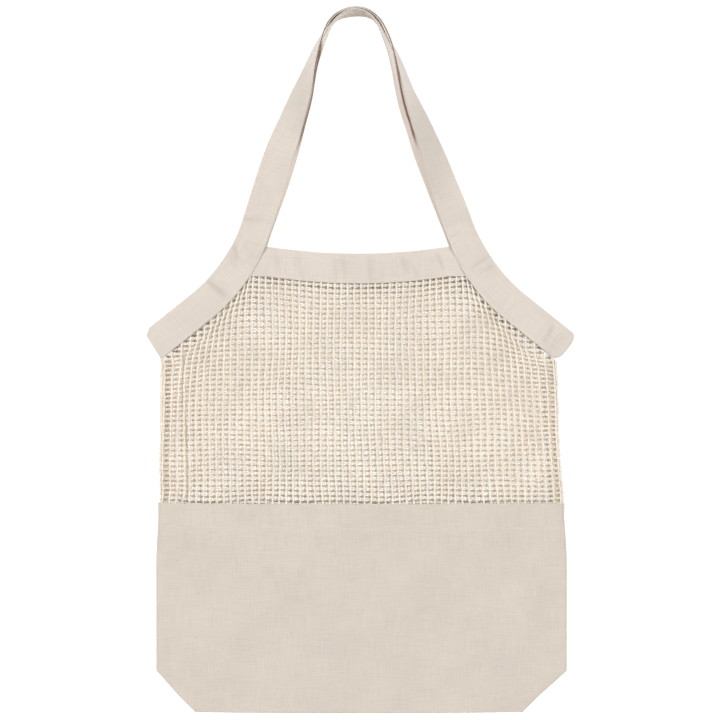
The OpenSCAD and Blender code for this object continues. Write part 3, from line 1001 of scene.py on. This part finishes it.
def net_point(u, v, step):
    """The net's middle. The rear net lies half a mesh off, seen past the front one from the camera."""
    x, z = net_place(u, v)
    depth = net_depth(x, z)
    if step > 0:
        depth = depth + pleat_height(x, z)
        return stacked(x, -depth, z)
    front = np.array([VIEW_AT.x, VIEW_AT.z])
    away = -VIEW_FROM.y
    grow = (away + depth) / (away - depth)
    x = x + 1.2 * MM * hump(x, 0, 120) ** 0.5
    return stacked(front[0] + (x - front[0]) * grow, depth, front[1] + (z - front[1]) * grow)


def painted_hole_shade(x, z):
    """How much painted shade a yarn's inner side takes: more by the straps and band and at the left, less in
    the middle, with random patches.
    """
    out = np.abs(x)
    strap_edge = np.where(out < HEM_X - 18 * MM, band_top(x) - BAND_H, armhole_z(out, -STRAP_W / 2))
    below = strap_edge - z
    near = hump(np.maximum(below, 0), 0, 6)
    left = rise(-150 * MM - x, 0, 25) * rise(z - SEAM_Z, 5, 60)
    middle = hump(x, 0, 75) * hump(z + 0.375, 0, 75)
    patches = Wander(61, 60 * MM, 50 * MM)(x, z) * 0.10
    return unit(0.50 + 0.50 * near + 0.14 * left - 0.22 * middle + patches)


def below_top(path):
    return path[:, 2] < net_top(path[:, 0])


def add_pillar(yarns, u, rows, step, rng):
    """Two plies twisted round each other, up the net at share u of its half width."""
    v = np.arange(rows[0] - 0.75 * ROW, rows[-1] + 3 * ROW, ROW / 4)
    path = net_point(np.full(len(v), u), v, step)
    path = path[below_top(path)]
    if len(path) < SHORTEST_PILLAR:
        return
    v = v[:len(path)]
    turn = math.pi * (v - rows[0]) / ROW
    swollen = 1 + 0.10 * np.cos(2 * turn) + 0.05 * Wander(int(rng.integers(1e6)), 20 * MM)(v)
    jitter = Wander(int(rng.integers(1e6)), 16 * MM)(v) * 0.16 * MM
    shade = painted_hole_shade(path[:, 0], path[:, 2])
    for ply in (1, -1):
        strand = path.copy()
        strand[:, 0] += ply * PLY_APART * np.cos(turn) + jitter
        strand[:, 1] -= step * (ply * 0.30 * MM * np.sin(turn) + 0.45 * MM)
        yarns.add(strand, PLY_R * swollen, YARN_SIDES, float(step), spin=0.6 * ply, shade=shade)


def add_cross_threads(yarns, v, low, high, columns, step, rng):
    """A pair of threads through the pillars, at flat height v, from share low to share high."""
    u = np.linspace(low, high, 1 + 4 * round((high - low) * COLUMNS / 2))
    path = net_point(u, np.full(len(u), v), step)
    inside = below_top(path) & (np.abs(u) < OUTER_COLUMN + 0.001)
    if inside.sum() < SHORTEST_CROSS:
        return
    path = path[inside]
    phase = (u[inside] - columns[1]) * COLUMNS / 2 * 2 * math.pi
    shade = painted_hole_shade(path[:, 0], path[:, 2])
    for side in (1, -1):
        seed = int(rng.integers(1e6))
        strand = path.copy()
        spread = CROSS_APART * (1 + 0.10 * np.cos(phase))
        spread = spread + 0.05 * MM * Wander(seed, 15 * MM)(path[:, 0])
        strand[:, 2] += side * spread
        back = 0.45 + 0.1 * (1 - np.cos(phase)) + 0.12 * side
        strand[:, 1] += step * back * MM
        thick = CROSS_R * (1 + 0.09 * Wander(seed + 1, 18 * MM)(path[:, 0]))
        yarns.add(strand, thick, YARN_SIDES, float(step), spin=0.4 * side, shade=shade)


def build_net(side, step):
    """Three pieces from left to right, which meet between two columns."""
    front = step > 0
    columns = (np.arange(COLUMNS + (not front)) + (0.5 if front else 0)) / COLUMNS * 2 - 1
    columns = np.clip(columns, -OUTER_COLUMN, OUTER_COLUMN)
    if front:
        columns = np.concatenate([[-OUTER_COLUMN], columns, [OUTER_COLUMN]])
    count = int((NET_TOP_Z + 25 * MM - NET_LOW_Z) / ROW)
    rows = NET_LOW_Z + 1.5 * MM + ROW * np.arange(count) + (0 if front else -0.5 * ROW)
    rng = np.random.default_rng(70 + step)
    inner_cut = (39 if front else 38) / COLUMNS - 1
    thirds = (("left", -1, inner_cut), ("middle", inner_cut, -inner_cut), ("right", -inner_cut, 1))
    made = []
    for name, low, high in thirds:
        yarns = Yarns()
        for u in columns[(columns > low - 1e-6) & (columns < high - 1e-6)]:
            add_pillar(yarns, u, rows, step, rng)
        for v in rows:
            add_cross_threads(yarns, v, low, high, columns, step, rng)
        made.append(yarns.piece(f"{side}_net_{name}"))
    return made


for side, step in SIDES:
    pieces = build_net(side, step)
    for piece, share in zip(pieces, (0.80, 0.97, 0.80)):
        finished(piece, net_yarn, "bag", (f"{side}_mesh",))

# --- The canvas: down the outside, round the bottom fold, and up inside to the bottom seam ---
CLOSE_FROM = 21 * MM
CLOSE_LEN = 28 * MM
FOLD_EDGE = 1.12 * MM
TOP_ROWS = 24 * MM
TOP_ROW = 1.2 * MM
LOWER_ROWS = 74


def canvas_depth(u, z):
    drop = unit((SEAM_Z - CLOSE_FROM - z) / CLOSE_LEN)
    return mix(CANVAS_OVER_NET, CANVAS_SIDE_DEPTH, smooth(drop)) + swell_at(z) * (1 - u * u)


def fold_r(u):
    return (CANVAS_SIDE_DEPTH - FLAP_DEPTH) / 2 + 0.25 * swell_at(BOTTOM_Z) * (1 - u * u)


def canvas_relief(x, z, step):
    """The net's ridges under the top edge, the seam allowance's dents, and soft waves."""
    seed = 81 + step
    from_top = SEAM_Z - z
    from_side = canvas_half(z) - np.abs(x)
    ridge = np.cos(2 * math.pi * (x / (2 * HALF_W) * COLUMNS + 0.12 * Wander(seed, 60 * MM)(x)))
    ridges = 0.11 * MM * ridge * fall(from_top, 9, 7) * rise(from_top, 0, 2)
    at_left = rise(-x, 130, 40)
    ledge = 0.10 * MM * fall(from_top, 13, 7) * (1 + 0.8 * at_left)
    uneven = 0.5 + 0.5 * Wander(seed + 3, 90 * MM, 200 * MM)(z, x)
    left = rise(-x, 0, 20)
    dent_at = 16.5 * MM + 1.5 * MM * Wander(seed + 4, 60 * MM)(z)
    dent = -0.42 * MM * hump(from_side - dent_at, 0, 3.4) * rise(from_top, 4, 12)
    dent = dent * (0.45 + 0.55 * left) * (0.6 + 0.4 * uneven)
    step_in = 0.25 * MM * fall(from_side, 9.5, 2.0) * rise(from_side, 0, 4)
    waves = Wander(seed + 6, 80 * MM, 130 * MM)(x, z) * 0.38 * MM
    waves = waves + Wander(seed + 7, 32 * MM, 44 * MM)(x, z) * 0.09 * MM
    held = rise(from_side, 0, 12) * smooth(from_top / (25 * MM) + 0.25)
    low = fall(BOTTOM_Z + 6 * MM - z, 0, 6)
    return ridges + ledge + (dent + step_in) * low + waves * held * low


def pulled_in(depth, x, half, edge):
    """The panel's sides round off towards the seam or the slanted fold."""
    return mix(edge, depth, rounded((half - np.abs(x)) / (3.5 * MM)))


def edge_depth(z):
    top = mix(0.55 * MM, 2.4 * MM, rise(z - SEAM_Z, -12, 12))
    return mix(FOLD_EDGE, top, rise(z - FOLD_TOP_Z, -3, 5))


def canvas_side(columns, step, side):
    """One face of the panel: 1 is the outside, -1 the inside."""
    u = columns[None, :]
    rows = []
    # Down the outside
    top_rows = np.arange(0, TOP_ROWS, TOP_ROW)
    reach = SEAM_Z - BOTTOM_Z
    wall_f = np.concatenate([top_rows / reach, np.linspace(TOP_ROWS / reach, 1, LOWER_ROWS)])[:-1, None]
    r = fold_r(u)
    z = mix(SEAM_Z, BOTTOM_Z + CANVAS_T / 2 + r, wall_f)
    x = u * canvas_half(z)
    depth = canvas_depth(u, z) + canvas_relief(x, z, step)
    depth = pulled_in(depth, x, canvas_half(z), edge_depth(z))
    rows.append(stacked(x, -depth - side * CANVAS_T / 2, z))

    # Round the bottom fold
    turn = np.linspace(0, math.pi, 13)[:, None]
    reach = r + side * CANVAS_T / 2
    centre_z = BOTTOM_Z + CANVAS_T / 2 + r
    z = centre_z - reach * np.sin(turn)
    x = u * canvas_half(centre_z - r * np.sin(turn))
    start = canvas_depth(u, centre_z) + canvas_relief(u * canvas_half(centre_z), centre_z, step)
    depth = start - r + reach * np.cos(turn)
    depth = pulled_in(depth, x, canvas_half(centre_z), FOLD_EDGE + side * CANVAS_T / 2 * np.cos(turn))
    rows.append(stacked(x, -depth, z))

    # Up inside to the bottom seam
    f = np.linspace(0, 1, 14)[1:, None]
    z = mix(centre_z, FOLD_TOP_Z, f)
    x = u * canvas_half(z)
    depth = mix(start - 2 * r, FLAP_DEPTH, smooth(f))
    depth = pulled_in(depth, x, canvas_half(z), FOLD_EDGE)
    depth = mix(depth, FLAP_DEPTH, smooth((f - 0.9) / 0.1))
    rows.append(stacked(x, -depth + side * CANVAS_T / 2, z))
    return np.concatenate(rows)


def build_canvas(name, step):
    near_edge = 1 - (np.array([0, 0.5, 1.1, 1.8, 2.6]) * MM) / HALF_W
    columns = np.concatenate([-near_edge, np.linspace(-0.983, 0.983, 231), near_edge[::-1]])
    faces = [canvas_side(columns, step, side) for side in (1, -1)]
    rows, cols = faces[0].shape[:2]
    points = np.concatenate([face.reshape(-1, 3) for face in faces])
    points[:, 1] *= step
    run = path_length(faces[0][:, cols // 2])
    x = faces[0][..., 0]
    cloth = stacked(x, run[:, None], 0.0).reshape(-1, 3)
    return make_piece(name, points, shell_faces(rows, cols), cloth=np.concatenate([cloth, cloth]))


for side, step in SIDES:
    panel = build_canvas(f"{side}_panel", step)
    finished(panel, canvas_cloth, "bag", (f"{side}_canvas",))

# --- The seam allowances inside, with overlock thread round their inner edge ---
ALLOWANCE_T = 1.5 * MM
ALLOWANCE_STEP = 3 * MM
SET_BACK = 1 * MM
OVERLOCK_PITCH = 2.4 * MM


def build_allowance(name, outer, inner, cloth_parts=7):
    """A flat strip between an outer and an inner line, (n, 2) each in X and Z, with a rounded section."""
    n = len(outer)
    turn = np.linspace(0, 2 * math.pi, 4 * cloth_parts, endpoint=False)
    across_share = (1 - np.sign(np.cos(turn)) * np.abs(np.cos(turn)) ** 0.35) / 2
    high = np.sign(np.sin(turn)) * np.abs(np.sin(turn)) ** 0.35 * ALLOWANCE_T / 2
    flat = outer[:, None, :] + (inner - outer)[:, None, :] * across_share[None, :, None]
    run = path_length(inner)
    puff = 1 + 0.12 * Wander(91, 14 * MM)(run)[:, None]
    y = high[None, :] * puff
    points = stacked(flat[..., 0], y, flat[..., 1])
    m = len(turn)
    caps = [np.arange(m), np.arange((n - 1) * m, n * m)[::-1]]
    cloth = stacked(run[:, None], across_share[None, :] * SEAM_W, 0.0)
    return make_piece(name, points.reshape(-1, 3), ring_quads(n, m), caps, cloth=cloth.reshape(-1, 3))


def build_overlock(name, outer, inner):
    """A thread that winds round the strip's inner edge, with its needle line 4 mm in."""
    run = path_length(inner)
    t = np.arange(0, run[-1] / OVERLOCK_PITCH, 1 / 12)
    at, back = (np.stack([np.interp(t * OVERLOCK_PITCH, run, line[:, i]) for i in (0, 1)], -1)
                for line in (inner, outer - inner))
    back /= np.linalg.norm(back, axis=1)[:, None]
    swing = 2 * math.pi * t
    set_in = 1.9 * MM - 2.2 * MM * np.cos(swing)
    y = (ALLOWANCE_T / 2 + 0.12 * MM) * np.clip(1.6 * np.sin(swing), -1, 1)
    path = stacked(at[:, 0] + back[:, 0] * set_in, y, at[:, 1] + back[:, 1] * set_in)
    yarns = Yarns()
    yarns.add(path, 0.2 * MM, 6)
    return yarns.piece(name)


def side_lines():
    """The right side seam's outer and inner lines: down the side, then in along the folded base."""
    low_z = ALLOWANCE_LOW.z
    drop = np.arange(ALLOWANCE_HIGH.z + 5 * MM, low_z + SEAM_W, -ALLOWANCE_STEP)
    outer = [(half_width(z) - SET_BACK, z) for z in drop]
    inner = [(half_width(z) - SET_BACK - SEAM_W, z) for z in drop]
    corner_out = np.array([HALF_W - SET_BACK, low_z])
    corner_in = corner_out + np.array([-SEAM_W, SEAM_W])
    outer.append(tuple(corner_out))
    inner.append(tuple(corner_in))
    for x in np.arange(corner_in[0] - ALLOWANCE_STEP, ALLOWANCE_LOW.x, -ALLOWANCE_STEP):
        outer.append((x, low_z))
        inner.append((x, low_z + SEAM_W))
    return np.array(outer), np.array(inner)


def build_seam(name, outer, inner, stands_for):
    strip = build_allowance(f"{name}_allowance", outer, inner)
    finished(strip, seam_cloth, "bag", stands_for)
    overlock = build_overlock(f"{name}_overlock", outer, inner)
    finished(overlock, sewing_thread, "bag")


right_outer, right_inner = side_lines()
MIRROR = np.array([-1.0, 1.0])
build_seam("right", right_outer, right_inner, ("right_side_seam",))
build_seam("left", right_outer * MIRROR, right_inner * MIRROR, ("left_side_seam",))
low, high = BOTTOM_ALLOWANCE
bottom_x = np.arange(low.x, high.x + 1e-6, ALLOWANCE_STEP)
bottom_outer, bottom_inner = (stacked(bottom_x, np.full(len(bottom_x), z)) for z in (low.z, high.z))
build_seam("bottom", bottom_outer, bottom_inner, ("bottom_seam",))

bpy.context.view_layer.update()
